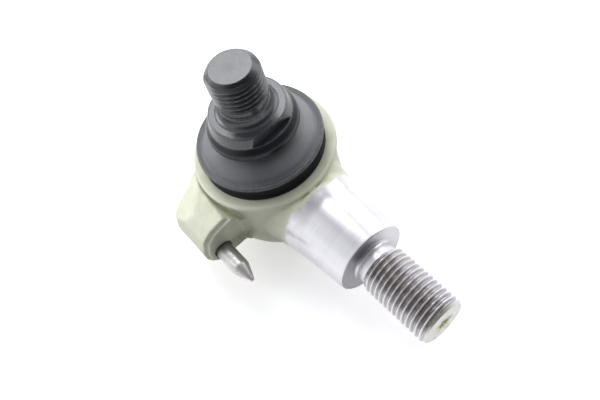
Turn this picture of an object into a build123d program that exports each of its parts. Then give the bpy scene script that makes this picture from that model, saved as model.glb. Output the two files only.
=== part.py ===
from build123d import *
import math
import os

# Guide ball joint with a tapered, threaded mounting shank and a locating pin.
# Frame: origin at the ball's centre, +Z along the ball stud towards its thread,
# +X along the mounting shank towards its thread. All lengths are millimetres.

# ---------------------------------------------------------------- sizes
thread_major_r = 7.0        # M14 x 1.5, both threads
ball_r = 11.0

# ball stud, levels along +Z
stud_end_z = 44.8
stud_face_r = 5.4
stud_thread_top_z = 43.2
stud_thread_low_z = 36.2
stud_neck_r = 6.7
stud_groove_z = 33.1
stud_flare_z = 32.7
collar_top_z = 30.0
collar_top_r = 10.1
collar_low_z = 26.8
collar_low_r = 11.0
flats_half = 9.0            # 18 mm across the two wrench flats
flange_r = 12.5
flange_top_z = 25.2
flange_low_z = 23.3
boot_seat_r = 8.6
boot_seat_low_z = 19.9
inner_neck_r = 5.5
inner_neck_top_z = 17.6

# socket, around Z
lip_r = 20.2
lip_top_z = 12.6
lip_low_z = 11.0
body_r = 19.2
body_low_z = -14.2
nozzle_r = 14.6             # short collar that carries the boot's lower ring
nozzle_top_z = 14.4
race_bore_r = 13.75
cover_bore_r = 14.6
race_r = 13.7
race_ball_clear = 0.04
retaining_shoulder_z = 6.95
mouth_low_r = 10.3
mouth_high_r = 12.5

# mounting shank, along X
taper_big_x = 25.0
taper_big_r = 11.8
shoulder_x = 40.6
shoulder_r = 10.5
relief_r = 5.95
shank_thread_start_x = 43.9
shank_thread_full_x = 44.8
shank_thread_top_x = 64.3
shank_end_x = 65.2
shank_end_r = 6.2

# lug with the locating pin, on the -Y side
pin_y = -26.1
pin_r = 2.5                 # free end
pin_press_r = 2.7           # pressed end, inside the lug
pin_face_x = 9.3
pin_cone_x = 17.4
pin_tip_x = 22.6
pin_seat_x = -2.0

os.makedirs("parts", exist_ok=True)


def turned_z(points):
    """Solid of revolution about Z from (radius, z) points."""
    line = Polyline(*[(r, 0, z) for r, z in points], close=True)
    return revolve(make_face(line), Axis.Z, 360)


def turned_x(points):
    """Solid of revolution about X from (x, radius) points."""
    line = Polyline(*[(x, 0, r) for x, r in points], close=True)
    return revolve(make_face(line), Axis.X, 360)


def arc_points(r, a0, a1, n):
    """(radius, z) points on a circle about the origin, angles from +Z in degrees."""
    return [(r * math.sin(math.radians(a0 + (a1 - a0) * i / n)),
             r * math.cos(math.radians(a0 + (a1 - a0) * i / n))) for i in range(n + 1)]


def one(shape):
    s = shape.solids()
    return s[0] if len(s) == 1 else max(s, key=lambda q: q.volume)


# ---------------------------------------------------------------- ball stud
def make_ball_stud():
    flat_bottom_z = -10.0
    ball = Sphere(ball_r)
    ball -= Pos(0, 0, flat_bottom_z - 5) * Box(40, 40, 10)
    shaft = turned_z([
        (0, 4.0), (inner_neck_r, 4.0), (inner_neck_r, inner_neck_top_z),
        (boot_seat_r, boot_seat_low_z), (boot_seat_r, flange_low_z),
        (flange_r - 0.4, flange_low_z), (flange_r, flange_low_z + 0.4),
        (flange_r, flange_top_z), (flange_r - 0.5, flange_top_z + 0.55),
        (collar_low_r, collar_low_z), (collar_top_r + 0.25, collar_top_z - 0.3),
        (collar_top_r, collar_top_z), (8.3, 30.3), (7.35, 30.85), (6.9, 31.7),
        (stud_neck_r, stud_flare_z), (stud_neck_r, stud_groove_z - 0.2),
        (stud_neck_r - 0.35, stud_groove_z), (stud_neck_r - 0.35, stud_groove_z + 0.35),
        (stud_neck_r, stud_groove_z + 0.6), (stud_neck_r, stud_thread_low_z - 0.3),
        (thread_major_r, stud_thread_low_z), (thread_major_r, stud_thread_top_z),
        (stud_face_r, stud_end_z), (0, stud_end_z)])
    stud = ball + shaft
    # two parallel wrench flats on the collar
    for s in (1, -1):
        cut = Pos(s * (flats_half + 5), 0, (26.95 + 34) / 2) * Box(10, 40, 34 - 26.95)
        stud -= cut
    return one(stud)


# ---------------------------------------------------------------- housing
def make_housing():
    body = turned_z([
        (0, body_low_z), (16.3, body_low_z), (17.3, -12.2), (body_r - 0.35, -8.4),
        (body_r, -7.0), (body_r, lip_low_z - 0.6), (lip_r - 0.3, lip_low_z),
        (lip_r, lip_low_z + 0.3), (lip_r, lip_top_z - 0.5), (lip_r - 0.5, lip_top_z),
        (nozzle_r, lip_top_z), (nozzle_r, nozzle_top_z), (0, nozzle_top_z)])
    shank = turned_x([
        (2.0, 0), (2.0, 14.0), (13.0, 14.0), (15.2, 13.5), (18.0, 13.0), (19.6, 12.75),
        (21.5, 12.5), (23.2, 12.2), (taper_big_x, taper_big_r),
        (shoulder_x - 0.4, shoulder_r + 0.03), (shoulder_x, shoulder_r - 0.35),
        (shoulder_x, relief_r + 0.5), (shoulder_x + 0.5, relief_r),
        (shank_thread_start_x, relief_r), (shank_thread_full_x, thread_major_r),
        (shank_thread_top_x, thread_major_r), (shank_end_x, shank_end_r),
        (shank_end_x, 0)])
    # the neck stays below the socket's flange and leaves a narrow undercut beside it
    trim = Pos(5.35, 0, 11.2 + 10) * Box(30.7, 60, 20)
    shank -= trim
    # lug: outline seen along X, cut to the outline seen along Z
    side = [(-14, 10.2), (-22.6, 10.2), (-26.6, 9.4), (-29.6, 7.2), (-31.2, 2.6),
            (-31.2, -0.6), (-30.2, -3.0), (-28.6, -4.6), (-14, -4.6)]
    lug = extrude(make_face(Polyline(*[(-13.0, y, z) for y, z in side], close=True)),
                  amount=21.3, dir=(1, 0, 0))
    plan = [(9.3, -12), (9.3, -32.5), (-4.4, -32.5), (-5.6, -30.25), (-7.1, -29.6),
            (-7.7, -28.3), (-8.1, -27.3), (-8.6, -26.3), (-9.0, -24.2), (-9.5, -22.3),
            (-10.6, -19.8), (-11.7, -17.3), (-11.7, -12)]
    plan_solid = extrude(make_face(Polyline(*[(x, y, -10) for x, y in plan], close=True)),
                         amount=30, dir=(0, 0, 1))
    lug = lug & plan_solid
    # the back of the lug falls away in one oblique forged face
    back_face = Plane(origin=(-1.65, -23.83, 9.95), z_dir=(-0.3373, -0.4043, 0.8502))
    lug -= back_face * Pos(0, 0, 20) * Box(80, 80, 40)
    pad_side = [(-14, 9.0), (-22.2, 9.0), (-26.0, 8.3), (-28.7, 6.3), (-30.1, 2.3),
                (-30.1, -0.4), (-29.3, -2.4), (-28.1, -3.6), (-14, -3.6)]
    pad = extrude(make_face(Polyline(*[(8.0, y, z) for y, z in pad_side], close=True)),
                  amount=pin_face_x - 8.0, dir=(1, 0, 0))
    rib = turned_z([(0, -4.6), (20.6, -4.6), (21.2, -3.0), (21.2, 7.5), (20.2, 9.2), (0, 9.2)])
    rib = rib & (Pos(0, -20, 0) * Box(20, 20, 40))
    # the lug's top falls off in a trough beside the socket's flange
    trough = Plane(origin=(1.0, -20.6, 10.0), z_dir=(0.075, 0.63, 0.775))
    arm = (lug + pad + rib) - trough * Pos(0, 0, 20) * Box(80, 80, 40)
    h = body + shank + arm
    # ball cavity, open at the top for the stud and at the bottom for assembly
    h -= turned_z([
        (0, -20), (14.0, -20), (14.0, -13.9), (14.0, -13.35), (cover_bore_r, -13.3),
        (cover_bore_r, -11.55), (race_bore_r, -11.55), (race_bore_r, retaining_shoulder_z),
        (mouth_low_r, retaining_shoulder_z), (mouth_high_r, 12.2), (13.5, nozzle_top_z + 0.01),
        (13.5, 20), (0, 20)])
    # press seat of the locating pin
    h -= Pos((pin_seat_x + pin_face_x) / 2 + 0.5, pin_y, 0) * Rot(0, 90, 0) * Cylinder(
        pin_press_r, pin_face_x - pin_seat_x + 1.0)
    # centre drilling in the shank's end face
    h -= Pos(shank_end_x - 0.6, 0, 0) * Rot(0, 90, 0) * Cone(0.05, 1.6, 1.3)
    return one(h)


def make_locating_pin():
    tip_r = 0.55
    return one(turned_x([
        (pin_seat_x + 0.1, 0), (pin_seat_x + 0.1, pin_press_r - 0.4),
        (pin_seat_x + 0.5, pin_press_r), (pin_face_x, pin_press_r), (pin_face_x, pin_r),
        (pin_cone_x, pin_r), (pin_tip_x - 0.55, tip_r + 0.1), (pin_tip_x - 0.15, tip_r - 0.15),
        (pin_tip_x, 0)])).moved(Location((0, pin_y, 0)))


# ---------------------------------------------------------------- bearing
def make_upper_race():
    r = ball_r + race_ball_clear
    a_top = math.degrees(math.acos(6.1 / r))
    inner = arc_points(r, a_top, 89.6, 24)
    return one(turned_z([(9.75, 6.85)] + inner + [(race_r, inner[-1][1]), (race_r, 6.85)]))


def make_lower_race():
    r = ball_r + race_ball_clear
    a_low = math.degrees(math.acos(-9.6 / r))
    inner = arc_points(r, 90.4, a_low, 24)
    return one(turned_z([(race_r, inner[0][1])] + inner
                        + [(inner[-1][0], -10.35), (race_r, -10.35)]))


def make_disc_spring():
    return one(turned_z([(6.6, -11.0), (6.6, -11.4), (13.4, -10.8), (13.4, -10.4)]))


def make_closing_cover():
    return one(turned_z([(0, -13.0), (9.0, -13.0), (10.5, -13.25), (14.5, -13.25),
                         (14.5, -12.75), (13.3, -12.75), (13.3, -11.6), (6.0, -11.6),
                         (5.0, -12.0), (0, -12.0)]))


def make_cover_seal_ring():
    return Pos(0, 0, -12.15) * Torus(13.95, 0.55)


# ---------------------------------------------------------------- dust boot
def make_dust_boot():
    outer = [(17.3, 12.9), (17.3, 13.4), (16.85, 13.95), (16.85, 16.1), (17.5, 16.9),
             (17.5, 17.65), (17.1, 18.1), (16.5, 18.25), (15.3, 18.8), (13.6, 19.95),
             (12.1, 21.2), (11.2, 22.3), (11.0, 22.9)]
    inner = [(9.6, 22.9), (9.6, 20.4), (10.6, 19.9), (12.0, 19.0), (13.8, 17.8),
             (15.2, 16.7), (15.9, 15.9), (15.9, 15.2), (15.3, 14.6), (15.25, 12.9)]
    return one(turned_z(outer + inner))


def make_boot_lower_ring():
    return one(turned_z([(14.65, 12.9), (15.15, 12.9), (15.15, 14.2), (14.65, 14.2)]))


def make_boot_upper_ring():
    return one(turned_z([(8.65, 20.5), (9.35, 20.5), (9.35, 22.8), (8.65, 22.8)]))


NODES = {
    "housing": make_housing,
    "locating_pin": make_locating_pin,
    "ball_stud": make_ball_stud,
    "upper_race": make_upper_race,
    "lower_race": make_lower_race,
    "disc_spring": make_disc_spring,
    "closing_cover": make_closing_cover,
    "cover_seal_ring": make_cover_seal_ring,
    "dust_boot": make_dust_boot,
    "boot_lower_ring": make_boot_lower_ring,
    "boot_upper_ring": make_boot_upper_ring,
}

for node, maker in NODES.items():
    solid = maker()
    export_step(solid, f"parts/{node}.step")
    print(node, round(solid.volume, 1))
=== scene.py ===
import bpy
import bmesh
import math
import numpy as np
from mathutils import Matrix, Vector


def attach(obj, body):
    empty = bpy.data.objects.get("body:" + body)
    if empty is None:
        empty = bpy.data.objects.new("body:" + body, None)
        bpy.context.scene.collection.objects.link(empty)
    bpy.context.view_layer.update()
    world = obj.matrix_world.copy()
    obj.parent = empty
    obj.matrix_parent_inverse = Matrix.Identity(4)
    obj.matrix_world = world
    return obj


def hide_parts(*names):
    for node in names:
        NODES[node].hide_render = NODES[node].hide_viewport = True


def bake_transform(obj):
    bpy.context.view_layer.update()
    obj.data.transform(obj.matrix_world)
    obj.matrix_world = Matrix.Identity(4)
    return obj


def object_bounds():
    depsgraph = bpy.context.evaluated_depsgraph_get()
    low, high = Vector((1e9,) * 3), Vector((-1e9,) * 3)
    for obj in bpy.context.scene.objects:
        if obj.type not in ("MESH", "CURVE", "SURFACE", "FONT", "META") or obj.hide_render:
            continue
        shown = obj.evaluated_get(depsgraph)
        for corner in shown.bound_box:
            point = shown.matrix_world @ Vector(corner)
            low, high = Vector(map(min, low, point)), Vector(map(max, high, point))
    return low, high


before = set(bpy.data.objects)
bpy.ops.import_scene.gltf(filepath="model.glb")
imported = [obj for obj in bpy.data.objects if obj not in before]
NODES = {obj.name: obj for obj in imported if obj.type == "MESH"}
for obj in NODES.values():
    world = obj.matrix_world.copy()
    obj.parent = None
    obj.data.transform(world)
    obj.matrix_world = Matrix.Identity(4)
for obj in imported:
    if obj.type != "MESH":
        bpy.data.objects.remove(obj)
lo_cad, hi_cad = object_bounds()
MM = 0.001
scene = bpy.context.scene


# ------------------------------------------------------------------ mesh helpers
def link(obj):
    scene.collection.objects.link(obj)
    return obj


def smoothstep(a, b, x):
    t = np.clip((np.asarray(x, float) - a) / (b - a), 0.0, 1.0)
    return t * t * (3 - 2 * t)


def softmin(a, b, k):
    """Smooth minimum of two arrays, rounding over a width k."""
    h = np.clip(0.5 + 0.5 * (b - a) / k, 0.0, 1.0)
    return b * (1 - h) + a * h - k * h * (1 - h)


def fine_profile(points, step, sharp=0.0, n_arc=5):
    """Polyline of (radius, level) with small rounded corners, sampled at about step."""
    pts = [np.array(p, float) for p in points]
    out = [pts[0]]
    for i in range(1, len(pts) - 1):
        a, b, c = pts[i - 1], pts[i], pts[i + 1]
        r = points[i][2] if len(points[i]) > 2 else sharp
        a, b, c = a[:2], b[:2], c[:2]
        la, lc = np.linalg.norm(a - b), np.linalg.norm(c - b)
        d = min(r, 0.45 * la, 0.45 * lc)
        if d < 1e-4:
            out.append(b)
            continue
        p0, p1 = b + (a - b) / la * d, b + (c - b) / lc * d
        for k in range(n_arc + 1):
            t = k / n_arc
            out.append((1 - t) ** 2 * p0 + 2 * t * (1 - t) * b + t * t * p1)
    out.append(pts[-1][:2])
    out[0] = out[0][:2]
    fine = [out[0]]
    for p, q in zip(out[:-1], out[1:]):
        n = max(1, int(math.ceil(np.linalg.norm(q - p) / step)))
        for k in range(1, n + 1):
            fine.append(p + (q - p) * k / n)
    return np.array(fine)


def turned(name, profile, n, axis="Z", centre=(0, 0), shape=None, theta=None, smooth_angle=40):
    """Closed surface of revolution. profile is (radius, level) rows from one pole or rim to the other;
    shape(radius, level, theta) may change the radius of each point. A profile whose ends aren't on the
    axis is closed back on itself."""
    prof = np.asarray(profile, float)
    th = np.linspace(0, 2 * math.pi, n, endpoint=False) if theta is None else np.asarray(theta)
    n = len(th)
    poles = (prof[0, 0] < 1e-6, prof[-1, 0] < 1e-6)
    body = prof[(1 if poles[0] else 0):(len(prof) - 1 if poles[1] else len(prof))]
    R = np.repeat(body[:, :1], n, 1)
    L = np.repeat(body[:, 1:2], n, 1)
    T = np.repeat(th[None, :], len(body), 0)
    if shape is not None:
        R = shape(R, L, T)
    A, B = R * np.cos(T), R * np.sin(T)
    if axis == "Z":
        V = np.stack([A + centre[0], B + centre[1], L], -1).reshape(-1, 3)
        pole = lambda z: (centre[0], centre[1], z)
    else:
        V = np.stack([L, A + centre[0], B + centre[1]], -1).reshape(-1, 3)
        pole = lambda x: (x, centre[0], centre[1])
    m = len(body)
    i = np.arange(m - 1)[:, None] * n
    j = np.arange(n)[None, :]
    j2 = (j + 1) % n
    quads = np.stack([i + j, i + j2, i + n + j2, i + n + j], -1).reshape(-1, 4)
    faces = [tuple(q) for q in quads.tolist()]
    verts = V.tolist()
    if poles[0]:
        verts.append(pole(prof[0, 1]))
        p = len(verts) - 1
        faces += [(p, int((k + 1) % n), int(k)) for k in range(n)]
    if poles[1]:
        verts.append(pole(prof[-1, 1]))
        p = len(verts) - 1
        base = (m - 1) * n
        faces += [(p, base + k, base + (k + 1) % n) for k in range(n)]
    if not poles[0] and not poles[1]:
        base = (m - 1) * n
        faces += [(base + k, base + (k + 1) % n, (k + 1) % n, k) for k in range(n)]
    mesh = bpy.data.meshes.new(name)
    mesh.from_pydata([tuple(c * MM for c in v) for v in verts], [], faces)
    bm = bmesh.new()
    bm.from_mesh(mesh)
    bmesh.ops.recalc_face_normals(bm, faces=bm.faces)
    bm.to_mesh(mesh)
    bm.free()
    mesh.shade_smooth()
    obj = link(bpy.data.objects.new(name, mesh))
    sharpen(obj, smooth_angle)
    return obj


def sharpen(obj, angle):
    """Marks edges above the angle as sharp, so that flat faces and machined edges stay crisp."""
    bm = bmesh.new()
    bm.from_mesh(obj.data)
    limit = math.radians(angle)
    for e in bm.edges:
        if len(e.link_faces) == 2 and e.calc_face_angle(0.0) > limit:
            e.smooth = False
    bm.to_mesh(obj.data)
    bm.free()


def thread_radius(level, theta, pitch, major, phase, depth=0.86, crest=0.14):
    """Radius of a right-hand metric thread with 60 degree flanks, rounded root and narrow crest."""
    u = level / pitch - theta / (2 * math.pi) - phase
    d = np.abs(u - np.round(u)) * pitch
    cut = np.maximum(d - crest / 2, 0.0) * math.tan(math.radians(60))
    cut = softmin(cut, np.full_like(cut, depth), 0.22)
    edge = np.clip(1 - d / (crest * 0.9), 0, 1)
    return major - np.maximum(cut, 0.0) - 0.015 * (1 - edge) * (d < crest)


# ------------------------------------------------------------------ node material helpers
class Nodes:
    """Small wrapper that builds a procedural material."""

    def __init__(self, name):
        self.mat = bpy.data.materials.new(name)
        self.mat.use_nodes = True
        self.t = self.mat.node_tree
        self.t.nodes.clear()
        self.out = self.t.nodes.new("ShaderNodeOutputMaterial")
        self.bsdf = self.t.nodes.new("ShaderNodeBsdfPrincipled")
        self.t.links.new(self.bsdf.outputs[0], self.out.inputs[0])
        self.tc = self.t.nodes.new("ShaderNodeTexCoord")
        self.co = self.tc.outputs["Object"]

    def new(self, kind, **props):
        n = self.t.nodes.new(kind)
        for k, v in props.items():
            setattr(n, k, v)
        return n

    def link(self, a, b):
        self.t.links.new(a, b)

    def put(self, socket, value):
        if hasattr(value, "is_output"):
            self.t.links.new(value, socket)
        else:
            socket.default_value = value

    def math(self, op, a, b=0.0, c=None, clamp=False):
        n = self.new("ShaderNodeMath", operation=op, use_clamp=clamp)
        self.put(n.inputs[0], a)
        self.put(n.inputs[1], b)
        if c is not None:
            self.put(n.inputs[2], c)
        return n.outputs[0]

    def scaled(self, sx, sy=None, sz=None):
        sy = sx if sy is None else sy
        sz = sx if sz is None else sz
        n = self.new("ShaderNodeVectorMath", operation="MULTIPLY")
        self.link(self.co, n.inputs[0])
        n.inputs[1].default_value = (sx, sy, sz)
        return n.outputs[0]

    def noise(self, scale, detail=4.0, rough=0.55, vec=None, distortion=0.0):
        n = self.new("ShaderNodeTexNoise")
        self.link(vec if vec is not None else self.co, n.inputs["Vector"])
        n.inputs["Scale"].default_value = scale
        n.inputs["Detail"].default_value = detail
        n.inputs["Roughness"].default_value = rough
        n.inputs["Distortion"].default_value = distortion
        return n.outputs["Fac"]

    def ramp(self, fac, stops):
        n = self.new("ShaderNodeValToRGB")
        self.put(n.inputs[0], fac)
        el = n.color_ramp.elements
        while len(el) < len(stops):
            el.new(0.5)
        for e, (p, c) in zip(el, stops):
            e.position = p
            e.color = (c, c, c, 1) if isinstance(c, (int, float)) else (*c, 1)
        return n.outputs["Color"]

    def maprange(self, v, a, b, c=0.0, d=1.0, smooth=False):
        n = self.new("ShaderNodeMapRange")
        n.interpolation_type = "SMOOTHSTEP" if smooth else "LINEAR"
        self.put(n.inputs["Value"], v)
        for k, x in zip(("From Min", "From Max", "To Min", "To Max"), (a, b, c, d)):
            n.inputs[k].default_value = x
        return n.outputs[0]

    def mix(self, fac, a, b, mode="MIX"):
        n = self.new("ShaderNodeMix", data_type="RGBA", blend_type=mode)
        self.put(n.inputs[0], fac)
        self.put(n.inputs[6], (*a, 1) if isinstance(a, tuple) and len(a) == 3 else a)
        self.put(n.inputs[7], (*b, 1) if isinstance(b, tuple) and len(b) == 3 else b)
        return n.outputs[2]

    def bump(self, height, distance, strength=1.0, normal=None):
        n = self.new("ShaderNodeBump")
        n.inputs["Strength"].default_value = strength
        n.inputs["Distance"].default_value = distance
        self.put(n.inputs["Height"], height)
        if normal is not None:
            self.link(normal, n.inputs["Normal"])
        return n.outputs[0]

    def crevice(self, distance, lo=0.35, hi=0.95):
        """1 deep in corners and gaps, 0 in the open."""
        n = self.new("ShaderNodeAmbientOcclusion", samples=12, only_local=False)
        n.inputs["Distance"].default_value = distance
        return self.maprange(n.outputs["AO"], lo, hi, 1.0, 0.0)

    def edges(self, lo, hi):
        n = self.new("ShaderNodeNewGeometry")
        return self.maprange(n.outputs["Pointiness"], lo, hi, 0.0, 1.0)

    def axis(self, which):
        n = self.new("ShaderNodeSeparateXYZ")
        self.link(self.co, n.inputs[0])
        return n.outputs[which]

    def ring_vector(self, r, scale, z=None, zscale=0.0):
        """A lookup vector that makes rings about an axis."""
        n = self.new("ShaderNodeCombineXYZ")
        self.link(self.math("MULTIPLY", r, scale), n.inputs[0])
        if z is not None:
            self.link(self.math("MULTIPLY", z, zscale), n.inputs[1])
        return n.outputs[0]

    def radius(self, a, b, ca=0.0, cb=0.0):
        """Distance from an axis, from two object coordinates."""
        x = self.math("SUBTRACT", a, ca)
        y = self.math("SUBTRACT", b, cb)
        return self.math("SQRT", self.math("ADD", self.math("MULTIPLY", x, x), self.math("MULTIPLY", y, y)))

    def set(self, **kw):
        names = {"color": "Base Color", "rough": "Roughness", "metal": "Metallic", "normal": "Normal",
                 "aniso": "Anisotropic", "coat": "Coat Weight", "coat_rough": "Coat Roughness",
                 "spec": "Specular IOR Level", "tangent": "Tangent", "sheen": "Sheen Weight"}
        for k, v in kw.items():
            s = self.bsdf.inputs[names[k]]
            self.put(s, (*v, 1) if isinstance(v, tuple) and len(v) == 3 and k == "color" else v)
        return self.mat


# ------------------------------------------------------------------ materials
def mat_coated(name="coated_forging", fade=True):
    """Pale greenish coating on a forging; it gives way to bright steel where the shank is machined."""
    m = Nodes(name)
    big = m.noise(60.0, 3.0, 0.5)
    mid = m.noise(300.0, 5.0, 0.62, distortion=0.4)
    fine = m.noise(2100.0, 3.0, 0.6)
    col = m.ramp(big, [(0.30, (0.700, 0.720, 0.550)), (0.52, (0.760, 0.775, 0.622)), (0.75, (0.798, 0.800, 0.682))])
    col = m.mix(m.maprange(mid, 0.46, 0.70, 0.0, 0.38), col, (0.610, 0.642, 0.462))
    col = m.mix(m.maprange(fine, 0.56, 0.78, 0.0, 0.25), col, (0.85, 0.85, 0.77))
    blot = m.noise(900.0, 4.0, 0.7, distortion=0.6)
    col = m.mix(m.maprange(blot, 0.66, 0.76, 0.0, 0.35), col, (0.36, 0.385, 0.245))
    corner_shade = m.math("MULTIPLY", m.crevice(0.0022, 0.20, 0.85), m.maprange(mid, 0.30, 0.62, 0.45, 1.0))
    # painted shade: occlusion darkens corners and gaps, and more strongly round the pin
    y_pin = m.math("ADD", m.axis(1), 0.0261)
    near = m.maprange(m.radius(y_pin, m.axis(2)), 0.0080, 0.0045, 0.0, 1.0)
    col = m.mix(m.math("MULTIPLY", corner_shade, m.math("MULTIPLY_ADD", near, 0.45, 0.40)), col, (0.175, 0.180, 0.105))
    # painted shadow on the inner side of the lug's web
    dx, dy, dz = m.math("ADD", m.axis(0), -0.0104), m.math("ADD", m.axis(1), 0.0203), m.math("ADD", m.axis(2), 0.0012)
    gone = m.radius(m.radius(dx, dy), dz)
    web_shadow = m.maprange(m.math("MULTIPLY_ADD", m.math("SUBTRACT", mid, 0.5), 0.0045, gone), 0.0054, 0.0010, 0.0, 1.0, smooth=True)
    col = m.mix(m.math("MULTIPLY", web_shadow, m.maprange(blot, 0.35, 0.60, 0.55, 0.92)), col, (0.215, 0.228, 0.135))
    # painted shade: broad occlusion darkening in the hollows
    hollow_shade = m.crevice(0.0100, 0.30, 0.85)
    col = m.mix(m.math("MULTIPLY", hollow_shade, 0.12), col, (0.340, 0.350, 0.215))
    # painted highlight: sharp edges are made lighter
    col = m.mix(m.math("MULTIPLY", m.edges(0.53, 0.60), 0.55), col, (0.80, 0.80, 0.73))
    rough = m.maprange(mid, 0.3, 0.7, 0.44, 0.60)
    metal = 0.10
    if fade:
        x = m.axis(0)
        wander = m.math("MULTIPLY", m.math("SUBTRACT", mid, 0.5), 0.0030)
        # the flange's edge stays coated where it stands over the neck
        wander = m.math("SUBTRACT", wander, m.maprange(m.axis(2), 0.0098, 0.0112, 0.0, 0.0013))
        bright = m.maprange(m.math("ADD", x, wander), 0.0196, 0.0214, 0.0, 1.0, smooth=True)
        streak = m.noise(1.0, 5.0, 0.62, vec=m.scaled(3600.0, 40.0, 40.0))
        steel = m.ramp(streak, [(0.25, (0.655, 0.645, 0.680)), (0.55, (0.725, 0.715, 0.750)), (0.8, (0.775, 0.765, 0.795))])
        # painted shade: the bare neck is darkened to a lilac grey just clear of the flange
        stain_and_shade = m.math("MULTIPLY", m.maprange(x, 0.0262, 0.0212, 0.0, 1.0), m.maprange(m.axis(2), 0.0070, 0.0115, 0.0, 1.0))
        steel = m.mix(m.math("MULTIPLY", stain_and_shade, m.maprange(mid, 0.35, 0.60, 0.25, 0.75)), steel, (0.375, 0.345, 0.370))
        col = m.mix(bright, col, steel)
        rough = m.math("MULTIPLY_ADD", bright, -0.20, rough)
        metal = m.math("MULTIPLY_ADD", bright, 0.90, 0.10)
    h = m.math("ADD", m.math("MULTIPLY", mid, 0.7), m.math("MULTIPLY", fine, 0.3))
    return m.set(color=col, rough=rough, metal=metal, normal=m.bump(h, 0.00010, 0.5))


def mat_machined():
    """Finely turned steel along X, with brownish oily roots in the thread, and painted shade along one side of the
    thread, on the neck, on the shoulder and in corners.
    """
    m = Nodes("machined_steel")
    x, y, z = m.axis(0), m.axis(1), m.axis(2)
    r = m.radius(y, z)
    streak = m.noise(1.0, 5.0, 0.62, vec=m.scaled(3600.0, 40.0, 40.0))
    cloud = m.noise(95.0, 4.0, 0.55)
    spot = m.noise(1300.0, 4.0, 0.7)
    mid = m.noise(300.0, 5.0, 0.62, distortion=0.4)
    col = m.ramp(streak, [(0.25, (0.655, 0.645, 0.680)), (0.55, (0.725, 0.715, 0.750)), (0.8, (0.775, 0.765, 0.795))])
    col = m.mix(m.maprange(cloud, 0.45, 0.75, 0.0, 0.30), col, (0.585, 0.575, 0.615))
    col = m.mix(m.maprange(spot, 0.68, 0.76, 0.0, 0.25), col, (0.42, 0.40, 0.40))
    # painted shade: the neck darkened just clear of the flange, as on the forging
    neck_shade = m.math("MULTIPLY", m.maprange(x, 0.0262, 0.0212, 0.0, 1.0), m.maprange(z, 0.0070, 0.0115, 0.0, 1.0))
    col = m.mix(m.math("MULTIPLY", neck_shade, m.maprange(mid, 0.35, 0.60, 0.25, 0.75)), col, (0.375, 0.345, 0.370))
    thread = m.math("MULTIPLY", m.maprange(x, 0.0439, 0.0445, 0.0, 1.0), m.maprange(x, 0.0646, 0.0642, 0.0, 1.0))
    patch = m.noise(240.0, 5.0, 0.65)
    root = m.math("MULTIPLY", thread, m.maprange(r, 0.00690, 0.00640, 0.0, 1.0))
    oil_and_shade_colour = m.ramp(m.noise(520.0, 4.0, 0.6), [(0.28, (0.060, 0.047, 0.040)), (0.50, (0.200, 0.168, 0.145)), (0.72, (0.46, 0.425, 0.395))])
    # oil lies in the thread roots; on top of it painted shade runs along one side of the thread, darkest at about 14
    # degrees off the top, towards -Y
    side_shade = m.math("DIVIDE", m.math("ADD", m.math("MULTIPLY", y, -0.30), m.math("MULTIPLY", z, 0.954)), r)
    oil_and_shade_side = m.maprange(m.math("MULTIPLY_ADD", m.math("SUBTRACT", patch, 0.5), 0.75, side_shade), 0.62, 0.98, 0.0, 1.0, smooth=True)
    col = m.mix(m.math("MULTIPLY", root, m.math("MULTIPLY_ADD", oil_and_shade_side, 0.62, 0.26)), col, oil_and_shade_colour)
    oil_and_shade_film = m.math("MULTIPLY", m.math("MULTIPLY", thread, oil_and_shade_side), m.maprange(spot, 0.45, 0.62, 0.0, 0.40))
    col = m.mix(oil_and_shade_film, col, (0.145, 0.122, 0.110))
    rub = m.math("MULTIPLY", thread, m.maprange(r, 0.00684, 0.00696, 0.0, 1.0))
    col = m.mix(m.math("MULTIPLY", rub, m.maprange(spot, 0.35, 0.60, 0.55, 0.95)), col, (0.90, 0.89, 0.90))
    # painted shade on the turned shoulder face, weaker towards +Y; the lathe rings in it are the face's own
    turn = m.math("MULTIPLY", m.maprange(x, 0.04035, 0.04055, 0.0, 1.0), m.maprange(x, 0.0411, 0.0408, 0.0, 1.0))
    lathe = m.noise(1.0, 4.0, 0.6, vec=m.ring_vector(r, 3000.0))
    shoulder_shade_rings = m.ramp(lathe, [(0.3, (0.200, 0.194, 0.210)), (0.7, (0.310, 0.302, 0.322))])
    col = m.mix(m.math("MULTIPLY", turn, m.maprange(m.math("ADD", y, m.math("MULTIPLY", z, 0.5)), -0.0020, 0.0090, 0.90, 0.25)), col, shoulder_shade_rings)
    nose = m.maprange(x, 0.0641, 0.0648, 0.0, 1.0)
    heart = m.math("MULTIPLY", m.maprange(r, 0.0036, 0.0012, 0.0, 1.0), nose)
    stain_and_shade = m.ramp(m.noise(340.0, 4.0, 0.62, distortion=0.5),
                   [(0.38, (0.62, 0.61, 0.56)), (0.55, (0.70, 0.69, 0.66)), (0.66, (0.52, 0.51, 0.36)), (0.76, (0.20, 0.19, 0.09))])
    col = m.mix(m.math("MULTIPLY", nose, 0.78), col, stain_and_shade)
    blob = m.noise(620.0, 4.0, 0.6, distortion=0.8)
    heartcol = m.ramp(blob, [(0.36, (0.62, 0.62, 0.32)), (0.46, (0.42, 0.41, 0.17)), (0.56, (0.14, 0.13, 0.05)), (0.72, (0.05, 0.045, 0.02))])
    col = m.mix(m.math("MULTIPLY", heart, m.maprange(blob, 0.36, 0.50, 0.25, 0.95)), col, heartcol)
    # painted shade: occlusion darkening in corners
    col = m.mix(m.math("MULTIPLY", m.crevice(0.0022, 0.25, 0.85), 0.45), col, (0.10, 0.085, 0.08))
    rough = m.maprange(streak, 0.3, 0.7, 0.28, 0.36)
    rough = m.math("MULTIPLY_ADD", root, 0.12, rough)
    rough = m.math("MULTIPLY_ADD", nose, 0.16, rough)
    return m.set(color=col, rough=rough, metal=1.0,
                 normal=m.bump(streak, 0.00001, 0.35))


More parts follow.
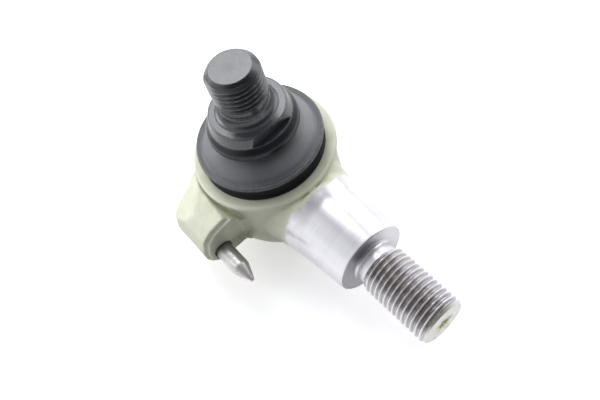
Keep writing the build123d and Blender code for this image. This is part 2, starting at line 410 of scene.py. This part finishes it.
def mat_pin():
    """Ground steel pin along X, lightly scuffed."""
    m = Nodes("pin_steel")
    streak = m.noise(1.0, 4.0, 0.6, vec=m.scaled(260.0, 2400.0, 2400.0))
    cloud = m.noise(480.0, 4.0, 0.6)
    turn = m.noise(1.0, 3.0, 0.5, vec=m.scaled(2600.0, 30.0, 30.0))
    col = m.ramp(streak, [(0.25, (0.44, 0.42, 0.41)), (0.55, (0.58, 0.57, 0.56)), (0.8, (0.70, 0.69, 0.68))])
    col = m.mix(m.maprange(cloud, 0.50, 0.72, 0.0, 0.50), col, (0.36, 0.32, 0.30))
    x = m.axis(0)
    # painted shade: the pin darker near its foot, where it leaves the lug
    foot_shade = m.maprange(x, 0.0122, 0.0094, 0.0, 1.0)
    col = m.mix(m.math("MULTIPLY", foot_shade, m.maprange(cloud, 0.35, 0.6, 0.3, 0.9)), col, (0.15, 0.13, 0.10))
    rough = m.maprange(cloud, 0.3, 0.7, 0.36, 0.50)
    return m.set(color=col, rough=rough, metal=1.0, normal=m.bump(m.math("ADD", streak, turn), 0.00002, 0.4))


def mat_phosphate():
    """Black phosphated and oiled steel; crests and edges are rubbed brighter."""
    m = Nodes("black_phosphate")
    x, y, z = m.axis(0), m.axis(1), m.axis(2)
    r = m.radius(x, y)
    big = m.noise(160.0, 4.0, 0.55)
    mid = m.noise(700.0, 4.0, 0.6)
    fine = m.noise(2600.0, 3.0, 0.6)
    col = m.ramp(big, [(0.30, (0.014, 0.016, 0.020)), (0.60, (0.018, 0.021, 0.027)), (0.80, (0.025, 0.028, 0.036))])
    col = m.mix(m.maprange(fine, 0.58, 0.80, 0.0, 0.14), col, (0.044, 0.048, 0.060))
    wear = None
    for r0, z0, w0 in ((0.01015, 0.02990, 0.00030), (0.01240, 0.02535, 0.00018), (0.00552, 0.04472, 0.00016), (0.01100, 0.02690, 0.00022)):
        e = m.maprange(m.radius(r, z, r0, z0), w0, w0 * 0.35, 0.0, 1.0)
        wear = e if wear is None else m.math("MAXIMUM", wear, e)
    wear = m.math("MULTIPLY", wear, m.maprange(big, 0.35, 0.65, 0.25, 0.85))
    col = m.mix(m.math("MULTIPLY", wear, 0.55), col, (0.22, 0.228, 0.245))
    thread = m.math("MULTIPLY", m.maprange(z, 0.0352, 0.0360, 0.0, 1.0), m.maprange(z, 0.04475, 0.0445, 0.0, 1.0))
    crest = m.math("MULTIPLY", thread, m.maprange(r, 0.00685, 0.00697, 0.0, 1.0))
    # painted shade: the thread roots darkened
    root = m.math("MULTIPLY", thread, m.maprange(r, 0.00672, 0.00630, 0.0, 1.0))
    col = m.mix(m.math("MULTIPLY", root, 0.85), col, (0.008, 0.008, 0.010))
    col = m.mix(m.math("MULTIPLY", crest, m.maprange(mid, 0.30, 0.60, 0.45, 0.95)), col, (0.27, 0.278, 0.300))
    # painted light: the collar's top annulus lighter, strongest towards +X -Y
    annulus_light = m.math("MULTIPLY", m.maprange(z, 0.0297, 0.0300, 0.0, 1.0), m.maprange(z, 0.0306, 0.0302, 0.0, 1.0))
    ahead = m.math("ADD", m.math("MULTIPLY", x, 0.68), m.math("MULTIPLY", y, -0.73))
    annulus_light = m.math("MULTIPLY", annulus_light, m.maprange(ahead, 0.0078, 0.0030, 0.35, 1.0))
    col = m.mix(m.math("MULTIPLY", annulus_light, m.maprange(mid, 0.30, 0.70, 0.60, 0.90)), col, (0.120, 0.126, 0.143))
    # painted light: the wrench flats lighter, fading towards +Y
    flat = m.math("MULTIPLY", m.maprange(m.math("ABSOLUTE", x), 0.00915, 0.00903, 0.0, 1.0), m.maprange(m.math("ABSOLUTE", x), 0.00860, 0.00888, 0.0, 1.0))
    flat = m.math("MULTIPLY", flat, m.math("MULTIPLY", m.maprange(z, 0.0268, 0.0272, 0.0, 1.0), m.maprange(z, 0.0300, 0.0297, 0.0, 1.0)))
    flat_light_falloff = m.maprange(m.math("MULTIPLY_ADD", m.math("SUBTRACT", big, 0.5), 0.006, y), -0.0010, 0.0040, 0.85, 0.15)
    col = m.mix(m.math("MULTIPLY", flat, flat_light_falloff), col, (0.086, 0.091, 0.104))
    face = m.maprange(z, 0.04472, 0.04479, 0.0, 1.0)
    lathe = m.noise(1.0, 3.0, 0.5, vec=m.ring_vector(r, 2600.0))
    facecol = m.ramp(lathe, [(0.3, (0.093, 0.097, 0.113)), (0.7, (0.107, 0.111, 0.128))])
    smudge = m.math("MULTIPLY", m.maprange(r, 0.0030, 0.0006, 0.0, 1.0), m.maprange(mid, 0.38, 0.62, 0.0, 0.55))
    facecol = m.mix(smudge, facecol, (0.055, 0.062, 0.056))
    facecol = m.mix(m.maprange(big, 0.55, 0.72, 0.0, 0.30), facecol, (0.078, 0.080, 0.086))
    col = m.mix(m.math("MULTIPLY", face, 0.80), col, facecol)
    rough = m.maprange(mid, 0.3, 0.7, 0.25, 0.31)
    h = m.math("ADD", m.math("MULTIPLY", mid, 0.6), m.math("MULTIPLY", fine, 0.4))
    low = m.math("MULTIPLY", m.maprange(r, 0.01105, 0.01135, 0.0, 1.0), m.maprange(z, 0.0270, 0.0266, 0.0, 1.0))
    return m.set(color=col, rough=rough, metal=0.0, spec=m.math("MULTIPLY_ADD", low, -0.62, 0.90), normal=m.bump(h, 0.00002, 0.22))


def mat_boot():
    """Satin black rubber with faint moulding rings, bloom and dust; the side band is glossier and carries painted
    shade, the bloom is weighted to paint light on one side, and the rim has a painted highlight and the gaps painted
    shade.
    """
    m = Nodes("boot_rubber")
    x, y, z = m.axis(0), m.axis(1), m.axis(2)
    r = m.radius(x, y)
    big = m.noise(130.0, 4.0, 0.6)
    mid = m.noise(800.0, 4.0, 0.65)
    fine = m.noise(3200.0, 2.0, 0.6)
    ring = m.noise(1.0, 3.0, 0.6, vec=m.ring_vector(r, 1500.0, z, 500.0))
    col = m.ramp(big, [(0.30, (0.074, 0.079, 0.088)), (0.60, (0.096, 0.102, 0.112)), (0.80, (0.120, 0.127, 0.139))])
    col = m.mix(m.maprange(ring, 0.45, 0.75, 0.0, 0.30), col, (0.130, 0.135, 0.145))
    bloom = m.math("MULTIPLY", m.maprange(r, 0.0118, 0.0132, 0.0, 1.0), m.maprange(r, 0.0163, 0.0148, 0.0, 1.0))
    # the bloom is the rubber's own; weighting it towards +X +Y paints light on that side
    across = m.math("ADD", m.math("MULTIPLY", x, 0.66), m.math("MULTIPLY", y, 0.75))
    bloom_and_light_side = m.math("MULTIPLY", m.maprange(big, 0.30, 0.70, 0.60, 1.0), m.maprange(across, -0.0120, 0.0130, 0.20, 0.95))
    col = m.mix(m.math("MULTIPLY", bloom, bloom_and_light_side), col, (0.240, 0.250, 0.268))
    clean = m.math("MULTIPLY", m.maprange(r, 0.0152, 0.0166, 0.0, 1.0), m.maprange(z, 0.0170, 0.0176, 0.0, 1.0))
    col = m.mix(m.math("MULTIPLY", clean, 0.60), col, (0.048, 0.051, 0.057))
    dust = m.maprange(mid, 0.62, 0.78, 0.0, 0.30)
    col = m.mix(dust, col, (0.26, 0.27, 0.28))
    # painted shade: the side band under the rim is made near black
    side_shade = m.maprange(z, 0.01745, 0.01700, 0.0, 1.0)
    col = m.mix(m.math("MULTIPLY", side_shade, 0.92), col, (0.007, 0.007, 0.008))
    # painted highlight along the rim's top edge
    rim = m.math("MULTIPLY", m.maprange(r, 0.01670, 0.01705, 0.0, 1.0), m.maprange(z, 0.01745, 0.01775, 0.0, 1.0))
    col = m.mix(m.math("MULTIPLY", rim, m.maprange(mid, 0.35, 0.6, 0.3, 0.8)), col, (0.155, 0.160, 0.170))
    # painted shade: occlusion darkening in the gap under the flange
    gap_shade = m.crevice(0.0032, 0.15, 0.75)
    col = m.mix(m.math("MULTIPLY", gap_shade, 0.85), col, (0.010, 0.010, 0.011))
    rough = m.maprange(ring, 0.3, 0.7, 0.36, 0.47)
    rough = m.math("MULTIPLY_ADD", side_shade, -0.06, rough)
    h = m.math("ADD", m.math("MULTIPLY", ring, 0.5), m.math("MULTIPLY", fine, 0.5))
    return m.set(color=col, rough=rough, metal=0.0, spec=m.math("SUBTRACT", m.math("MULTIPLY_ADD", side_shade, -0.80, 0.95), m.math("MULTIPLY", clean, 0.40)),
                 normal=m.bump(h, 0.00004, 0.5))


def mat_plastic():
    m = Nodes("bearing_plastic")
    big = m.noise(180.0, 4.0, 0.5)
    fine = m.noise(2600.0, 2.0, 0.5)
    col = m.ramp(big, [(0.3, (0.74, 0.73, 0.67)), (0.7, (0.84, 0.83, 0.78))])
    return m.set(color=col, rough=m.maprange(fine, 0.3, 0.7, 0.32, 0.44), metal=0.0,
                 normal=m.bump(fine, 0.00002, 0.4))


def mat_steel(name, dark, light, rough_lo, rough_hi):
    m = Nodes(name)
    streak = m.noise(1.0, 4.0, 0.6, vec=m.scaled(700.0, 700.0, 5200.0))
    cloud = m.noise(260.0, 4.0, 0.6)
    col = m.ramp(streak, [(0.3, dark), (0.7, light)])
    col = m.mix(m.maprange(cloud, 0.5, 0.8, 0.0, 0.4), col, tuple(c * 0.6 for c in dark))
    return m.set(color=col, rough=m.maprange(cloud, 0.3, 0.7, rough_lo, rough_hi), metal=1.0,
                 normal=m.bump(streak, 0.00002, 0.4))


def mat_seal():
    m = Nodes("seal_rubber")
    fine = m.noise(2600.0, 3.0, 0.6)
    col = m.ramp(fine, [(0.3, (0.018, 0.018, 0.019)), (0.7, (0.040, 0.040, 0.042))])
    return m.set(color=col, rough=m.maprange(fine, 0.3, 0.7, 0.40, 0.55), metal=0.0,
                 normal=m.bump(fine, 0.00003, 0.4))


M_COAT, M_MACH, M_PIN, M_PHOS, M_BOOT = mat_coated(), mat_machined(), mat_pin(), mat_phosphate(), mat_boot()
M_PLASTIC, M_SEAL = mat_plastic(), mat_seal()
M_SPRING = mat_steel("spring_steel", (0.28, 0.28, 0.30), (0.46, 0.46, 0.48), 0.28, 0.42)
M_RING = mat_steel("ring_steel", (0.34, 0.34, 0.36), (0.52, 0.52, 0.54), 0.30, 0.45)


def dress(obj, mat):
    obj.data.materials.clear()
    obj.data.materials.append(mat)


# ------------------------------------------------------------------ ball stud
def flats_angles(n):
    """Angles with extra points where the wrench flats begin."""
    base = list(np.linspace(-math.pi, math.pi, n, endpoint=False))
    extra = []
    for c in (0.0, math.pi):
        for s in (1, -1):
            for r in (9.6, 10.0, 10.3, 10.6, 10.9, 11.2):
                a = c + s * math.acos(9.0 / r)
                extra.append((a + math.pi) % (2 * math.pi) - math.pi)
    th = sorted(base + extra)
    out = [th[0]]
    for t in th[1:]:
        if t - out[-1] > 0.0035:
            out.append(t)
    return out


STUD_PHASE = 0.894


def stud_shape(R, L, T):
    out = R.copy()
    # thread with a faded start at the neck and a chamfered end
    th = thread_radius(L, T, 1.5, 7.0, STUD_PHASE, depth=0.80, crest=0.10)
    w = smoothstep(35.3, 36.9, L)
    cham = 7.0 - np.maximum(L - 43.15, 0.0) * 1.0
    thr = np.minimum(th, cham + 0.02)
    zone = (L > 35.2) & (L < 44.75) & (R > 5.0)
    out = np.where(zone, (1 - w) * R + w * np.minimum(thr, R + 0.0), out)
    # two wrench flats
    flat = 9.0 / np.maximum(np.abs(np.cos(T)), 1e-3)
    collar = (L > 26.96) & (L < 33.0)
    out = np.where(collar, softmin(out, np.minimum(flat, 40.0), 0.16), out)
    return out


def make_stud():
    a0 = math.degrees(math.asin(5.5 / 11.0))
    ball = [(11.0 * math.sin(math.radians(a)), 11.0 * math.cos(math.radians(a)))
            for a in np.linspace(155.3, a0, 40)]
    pts = [(0, -10.0), (4.3, -10.0, 0.2)] + [(r, z) for r, z in ball[1:]]
    pts += [(5.5, 17.6, 0.6), (8.6, 19.9, 0.5), (8.6, 23.3, 0.12), (12.1, 23.3, 0.35), (12.45, 23.7, 0.3),
            (12.35, 25.15, 0.3), (12.05, 25.75, 0.4), (11.25, 26.7, 0.35), (11.05, 26.95, 0.04),
            (10.35, 29.7, 0.12), (10.05, 30.02, 0.18), (8.1, 30.10, 0.5), (7.3, 30.62, 0.6), (6.88, 31.6, 0.5), (6.72, 32.75, 0.2),
            (6.5, 33.1, 0.22), (6.5, 33.4, 0.22), (6.7, 33.75, 0.2), (6.7, 35.4, 0.2), (7.0, 36.0, 0.05), (7.0, 43.15, 0.05), (5.45, 44.75, 0.06), (5.3, 44.8, 0.05),
            (1.6, 44.79, 0.3), (0.8, 44.77, 0.3), (0, 44.77)]
    prof = fine_profile(pts, 0.35, 0.0)
    # finer rows where the collar and the thread are
    rows = [prof[0]]
    for p, q in zip(prof[:-1], prof[1:]):
        zmid = (p[1] + q[1]) / 2
        step = 0.095 if zmid > 35.0 else (0.10 if 26.7 < zmid < 33.9 else 0.30)
        if p[0] < 5.2 and zmid > 40:
            step = 0.3
        k = max(1, int(math.ceil(np.linalg.norm(q - p) / step)))
        rows += [p + (q - p) * i / k for i in range(1, k + 1)]
    obj = turned("ball_stud_forged", np.array(rows), 0, "Z", shape=stud_shape, theta=flats_angles(300), smooth_angle=32)
    dress(obj, M_PHOS)
    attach(obj, "stud")
    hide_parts("ball_stud")
    return obj


# ------------------------------------------------------------------ dust boot
def make_boot():
    outer = [(15.6, 12.66, 0.1), (17.15, 12.66, 0.2), (17.3, 12.9, 0.15), (17.1, 13.15, 0.15), (16.55, 13.4, 0.3),
             (16.4, 16.2, 0.4), (17.0, 16.75, 0.3), (17.5, 17.05, 0.15), (17.5, 17.65, 0.22), (17.15, 18.05, 0.25),
             (16.65, 18.12, 0.3), (16.1, 18.02, 0.35), (15.6, 18.3, 0.4), (14.8, 19.1, 0.8), (13.5, 20.2, 0.9),
             (12.3, 21.15, 0.7), (11.4, 21.8, 0.4), (10.95, 22.4, 0.2), (10.85, 22.85, 0.12), (10.6, 22.95, 0.1),
             (9.7, 22.95, 0.1)]
    inner = [(9.5, 22.8, 0.1), (9.45, 20.5, 0.1), (10.4, 20.0, 0.3), (11.9, 19.1, 0.4), (13.6, 17.8, 0.4),
             (14.9, 16.7, 0.3), (15.45, 15.9, 0.3), (15.45, 15.1, 0.2), (15.35, 14.5, 0.1), (15.35, 12.8, 0.1)]
    prof = fine_profile(outer + inner, 0.16, 0.0)
    obj = turned("dust_boot_moulded", prof, 256, "Z", smooth_angle=50)
    dress(obj, M_BOOT)
    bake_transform(obj)
    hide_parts("dust_boot")
    return obj


# ------------------------------------------------------------------ housing
NECK_CUT = 23.40


def neck_radius(x):
    return np.interp(x, [18.0, 19.6, 21.5, 23.2, 25.0, 40.25], [13.0, 12.75, 12.5, 12.2, 11.83, 10.53])


def make_forging():
    """The coated part of the forging: socket, flange, lug and neck, with rounded forged edges."""
    src = NODES["housing"]
    mesh = src.data.copy()
    obj = link(bpy.data.objects.new("housing_forging", mesh))
    bm = bmesh.new()
    bm.from_mesh(mesh)
    bmesh.ops.remove_doubles(bm, verts=bm.verts, dist=1e-6)
    bm.to_mesh(mesh)
    bm.free()
    md = obj.modifiers.new("remesh", "REMESH")
    md.mode = "VOXEL"
    md.voxel_size = 0.00030
    md.use_smooth_shade = True
    dg = bpy.context.evaluated_depsgraph_get()
    new = bpy.data.meshes.new_from_object(obj.evaluated_get(dg))
    obj.modifiers.clear()
    obj.data = new
    n = len(new.vertices)
    co = np.empty(n * 3, np.float32)
    new.vertices.foreach_get("co", co)
    co = co.reshape(-1, 3).astype(np.float64)
    ne = len(new.edges)
    ed = np.empty(ne * 2, np.int32)
    new.edges.foreach_get("vertices", ed)
    ed = ed.reshape(-1, 2)
    # how soft each place is: forged skin is rounded, the turned flange and bores stay crisp
    x, y, z = co[:, 0] / MM, co[:, 1] / MM, co[:, 2] / MM
    rz = np.hypot(x, y)
    skin = ((rz > 18.6) | (x > 14)) & (z < 10.7) & (z > -13.0)
    soft = np.where(skin, 1.0, 0.18)
    soft = np.where((x > 6.6) & (x < 10.5) & (y < -17), 0.40, soft)
    soft = np.where((z > 10.9) & (rz > 15), 0.12, soft)
    deg = np.bincount(ed.ravel(), minlength=n).astype(float)
    iters = 26
    for k in range(iters):
        acc = np.zeros_like(co)
        np.add.at(acc, ed[:, 0], co[ed[:, 1]])
        np.add.at(acc, ed[:, 1], co[ed[:, 0]])
        lap = acc / deg[:, None] - co
        lam = 0.6 if k % 2 == 0 else -0.62 * 0.55
        co = co + lap * (lam * soft)[:, None]
    # hammer-forged unevenness, a few hundredths of a millimetre
    x, y, z = co[:, 0] / MM, co[:, 1] / MM, co[:, 2] / MM
    w = np.sin(x * 0.71 + 1.3) * np.sin(y * 0.63 + 0.4) * np.sin(z * 0.77 + 2.1)
    w += 0.5 * np.sin(x * 1.9 + y * 1.3) * np.sin(y * 2.3 - z * 1.7 + 0.8)
    new.vertices.foreach_set("co", co.astype(np.float32).ravel())
    new.update()
    nrm = np.empty(n * 3, np.float32)
    new.vertices.foreach_get("normal", nrm)
    nrm = nrm.reshape(-1, 3)
    amp = np.where(soft > 0.5, 0.045 * MM, 0.0)
    co = co + nrm * (w * amp)[:, None]
    # the neck runs true into the turned shank
    x, y, z = co[:, 0] / MM, co[:, 1] / MM, co[:, 2] / MM
    rad = np.hypot(y, z)
    true = neck_radius(x)
    w = smoothstep(18.2, 20.6, x) * (1.0 - smoothstep(10.1, 10.8, z)) * (np.abs(rad - true) < 1.0)
    w = np.maximum(w, smoothstep(20.85, 21.25, x))
    k = 1.0 + w * (true / np.maximum(rad, 1e-3) - 1.0)
    co[:, 1] *= k
    co[:, 2] *= k
    co = np.clip(co, np.array(lo_cad) + 2e-6, np.array(hi_cad) - 2e-6)
    new.vertices.foreach_set("co", co.astype(np.float32).ravel())
    new.update()
    # the machined shank is its own piece from here on
    bm = bmesh.new()
    bm.from_mesh(new)
    res = bmesh.ops.bisect_plane(bm, geom=bm.verts[:] + bm.edges[:] + bm.faces[:], dist=1e-7,
                                 plane_co=(NECK_CUT * MM, 0, 0), plane_no=(1, 0, 0), clear_outer=True)
    rim = [e for e in res["geom_cut"] if isinstance(e, bmesh.types.BMEdge)]
    bmesh.ops.holes_fill(bm, edges=[e for e in bm.edges if e.is_boundary], sides=0)
    bmesh.ops.recalc_face_normals(bm, faces=bm.faces)
    bm.to_mesh(new)
    bm.free()
    new.shade_smooth()
    sharpen(obj, 50)
    dress(obj, M_COAT)
    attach(obj, "housing")
    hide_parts("housing")
    return obj


SHANK_PHASE = 0.887


def shank_shape(R, L, T):
    th = thread_radius(L, T, 1.5, 7.0, SHANK_PHASE, depth=0.82, crest=0.12)
    start = 5.95 + np.maximum(L - 43.9, 0.0) * 1.17
    nose = np.interp(L, [63.4, 64.3, 64.9, 65.2], [7.02, 6.75, 6.42, 6.15])
    thr = np.minimum(np.minimum(th, start), nose)
    zone = (L > 43.9) & (L < 65.15) & (R > 5.85)
    return np.where(zone, np.minimum(thr, R + 0.001), R)


def make_shank():
    """Machined shank: taper, shoulder, relief groove, thread and nose."""
    pts = [(0, 22.0), (11.4, 22.0), (float(neck_radius(NECK_CUT - 0.02)), NECK_CUT - 0.02, 0.005), (11.83, 25.0, 0.9),
           (10.53, 40.25, 0.05), (10.5, 40.35, 0.15), (10.25, 40.6, 0.1), (6.5, 40.6, 0.5), (5.95, 41.2, 0.5),
           (5.95, 43.9, 0.05), (7.0, 44.8, 0.05), (7.0, 63.6, 0.05), (6.75, 64.3, 0.3), (6.3, 65.05, 0.2), (6.1, 65.2, 0.08),
           (1.5, 65.2, 0.06), (1.3, 65.02, 0.1), (0, 64.5)]
    prof = fine_profile(pts, 0.4, 0.0)
    rows = [prof[0]]
    for p, q in zip(prof[:-1], prof[1:]):
        mid = (p[1] + q[1]) / 2
        step = 0.095 if 43.8 < mid < 65.16 else 0.35
        if p[0] < 5.9 and mid > 60:
            step = 0.3
        k = max(1, int(math.ceil(np.linalg.norm(q - p) / step)))
        rows += [p + (q - p) * i / k for i in range(1, k + 1)]
    obj = turned("housing_machined_shank", np.array(rows), 300, "X", shape=shank_shape, smooth_angle=32)
    dress(obj, M_MACH)
    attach(obj, "housing")
    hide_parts("housing")
    return obj


def make_pin():
    pts = [(0, -1.9), (2.1, -1.9, 0.1), (2.5, -1.5, 0.1), (2.5, 17.3, 0.45), (0.78, 21.8, 0.45), (0.55, 22.4, 0.35), (0, 22.6)]
    obj = turned("locating_pin_ground", fine_profile(pts, 0.22, 0.0), 96, "X", centre=(-26.1, 0.0), smooth_angle=45)
    dress(obj, M_PIN)
    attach(obj, "housing")
    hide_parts("locating_pin")
    return obj


def make_cover():
    """Pressed closing cover with a shallow raised centre."""
    pts = [(0, -12.9), (8.4, -12.9, 0.5), (9.4, -13.2, 0.5), (14.35, -13.2, 0.1), (14.5, -13.05, 0.1), (14.5, -12.75, 0.05),
           (13.3, -12.75, 0.05), (13.3, -11.65, 0.05), (6.0, -11.65, 0.3), (5.0, -12.0, 0.3), (0, -12.0)]
    obj = turned("closing_cover_pressed", fine_profile(pts, 0.3, 0.0), 160, "Z", smooth_angle=40)
    dress(obj, M_COAT)
    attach(obj, "housing")
    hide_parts("closing_cover")
    return obj


make_stud()
make_boot()
make_forging()
make_shank()
make_pin()
make_cover()
for node, mat in (("upper_race", M_PLASTIC), ("lower_race", M_PLASTIC), ("disc_spring", M_SPRING),
                  ("cover_seal_ring", M_SEAL), ("boot_lower_ring", M_RING), ("boot_upper_ring", M_RING)):
    o = NODES[node]
    if len(o.material_slots) == 0:
        o.data.materials.append(mat)
    for s in o.material_slots:
        s.material = mat

# ------------------------------------------------------------------ floor, light, camera
FLOOR_Z = lo_cad.z


def make_floor():
    n = 24
    size = 1.6
    verts, faces = [], []
    for j in range(n + 1):
        for i in range(n + 1):
            verts.append(((i / n - 0.5) * 2 * size, (j / n - 0.5) * 2 * size, FLOOR_Z))
    for j in range(n):
        for i in range(n):
            a = j * (n + 1) + i
            faces.append((a, a + 1, a + n + 2, a + n + 1))
    mesh = bpy.data.meshes.new("floor")
    mesh.from_pydata(verts, [], faces)
    obj = link(bpy.data.objects.new("floor", mesh))
    m = Nodes("floor_paper")
    v = m.noise(40.0, 4.0, 0.5)
    col = m.ramp(v, [(0.3, (0.90, 0.90, 0.90)), (0.7, (0.93, 0.93, 0.93))])
    m.bsdf.inputs["Emission Color"].default_value = (1.0, 1.0, 1.0, 1)
    m.bsdf.inputs["Emission Strength"].default_value = 0.42
    dress(obj, m.set(color=col, rough=0.7, metal=0.0, normal=m.bump(m.noise(900.0, 3.0, 0.6), 0.0001, 0.2)))
    # the part is lit from below by the world alone, as if it stood well clear of the paper
    obj.visible_diffuse = False
    return obj


make_floor()


def make_world():
    """Soft white studio: bright low walls behind and beside the part, dimmer overhead and on the camera's side."""
    world = bpy.data.worlds.new("studio")
    world.use_nodes = True
    t = world.node_tree
    t.nodes.clear()

    def new(kind, **kw):
        n = t.nodes.new(kind)
        for k, v in kw.items():
            setattr(n, k, v)
        return n

    def math_(op, a, b=0.0, clamp=False):
        n = new("ShaderNodeMath", operation=op, use_clamp=clamp)
        for s_, v in zip(n.inputs, (a, b)):
            if hasattr(v, "is_output"):
                t.links.new(v, s_)
            else:
                s_.default_value = v
        return n.outputs[0]

    def span(v, a, b, c, d):
        n = new("ShaderNodeMapRange", interpolation_type="SMOOTHSTEP")
        t.links.new(v, n.inputs["Value"])
        for k, q in zip(("From Min", "From Max", "To Min", "To Max"), (a, b, c, d)):
            n.inputs[k].default_value = q
        return n.outputs[0]

    co = new("ShaderNodeTexCoord").outputs["Generated"]
    sep = new("ShaderNodeSeparateXYZ")
    t.links.new(co, sep.inputs[0])
    up = sep.outputs[2]
    dot = new("ShaderNodeVectorMath", operation="DOT_PRODUCT")
    t.links.new(co, dot.inputs[0])
    dot.inputs[1].default_value = (0.95, -0.25, 0.20)
    front = span(dot.outputs["Value"], 0.10, 0.80, 0.0, 1.0)
    low = span(up, 0.15, 0.60, 1.0, 0.0)
    wall = math_("MULTIPLY", low, WALL)
    level = math_("ADD", wall, OVERHEAD)
    screen = new("ShaderNodeVectorMath", operation="DOT_PRODUCT")
    t.links.new(co, screen.inputs[0])
    screen.inputs[1].default_value = (-0.26, -0.79, 0.55)
    level = math_("ADD", level, math_("MULTIPLY", span(screen.outputs["Value"], 0.72, 0.93, 0.0, 1.0), SCREEN))
    dim = math_("SUBTRACT", 1.0, math_("MULTIPLY", front, FRONT_DIM))
    level = math_("MULTIPLY", level, dim)
    level = math_("MULTIPLY", level, span(up, -0.20, 0.05, BELOW, 1.0))
    lit = new("ShaderNodeBackground")
    lit.inputs[0].default_value = (0.965, 0.975, 1.0, 1)
    t.links.new(level, lit.inputs[1])
    seen = new("ShaderNodeBackground")
    seen.inputs[0].default_value = (0.93, 0.94, 0.95, 1)
    seen.inputs[1].default_value = 1.0
    mix = new("ShaderNodeMixShader")
    path = new("ShaderNodeLightPath")
    t.links.new(path.outputs["Is Camera Ray"], mix.inputs[0])
    t.links.new(lit.outputs[0], mix.inputs[1])
    t.links.new(seen.outputs[0], mix.inputs[2])
    out = new("ShaderNodeOutputWorld")
    t.links.new(mix.outputs[0], out.inputs[0])
    scene.world = world


WALL, OVERHEAD, SCREEN, FRONT_DIM, BELOW = 0.42, 0.54, 0.41, 0.79, 0.42
make_world()


def softbox(name, direction, distance, size, radiance, color=(1, 1, 1), size_y=None):
    """A rectangular diffuser aimed at the part; radiance is what it looks like from the part."""
    target = Vector((0.015, 0.0, 0.010))
    d = bpy.data.lights.new(name, "AREA")
    d.shape = "RECTANGLE"
    d.size = size
    d.size_y = size_y or size
    d.energy = radiance * math.pi * d.size * d.size_y
    d.color = color
    o = link(bpy.data.objects.new(name, d))
    o.location = target + Vector(direction).normalized() * distance
    o.rotation_mode = "QUATERNION"
    o.rotation_quaternion = (target - o.location).to_track_quat("-Z", "Y")
    return o


softbox("softbox_top_back", (-0.52, 0.22, 0.82), 0.60, 0.31, 4.6, (0.970, 0.982, 1.0))
softbox("softbox_right", (-0.06, 0.83, 0.50), 0.60, 0.42, 2.1, (0.98, 0.99, 1.0))
softbox("softbox_left", (-0.80, -0.46, 0.46), 0.60, 0.28, 4.3, (1.0, 1.0, 1.0))

cam_data = bpy.data.cameras.new("camera")
cam = link(bpy.data.objects.new("camera", cam_data))
cam_data.sensor_width = 36.0
cam_data.lens = 36.0 * 625.34 / 600.0
cam_data.clip_start, cam_data.clip_end = 0.005, 20.0
right = Vector((0.6447, 0.7396, -0.1931))
down = Vector((0.5880, -0.6413, -0.4930))
ahead = Vector((-0.4885, 0.2043, -0.8483))
rot = Matrix((right, -down, -ahead)).transposed()
rot = rot.to_quaternion().to_matrix()
cam.matrix_world = Matrix.Translation(Vector((98.80, -37.10, 148.52)) * MM) @ rot.to_4x4()
scene.camera = cam
scene.view_settings.view_transform = "Standard"
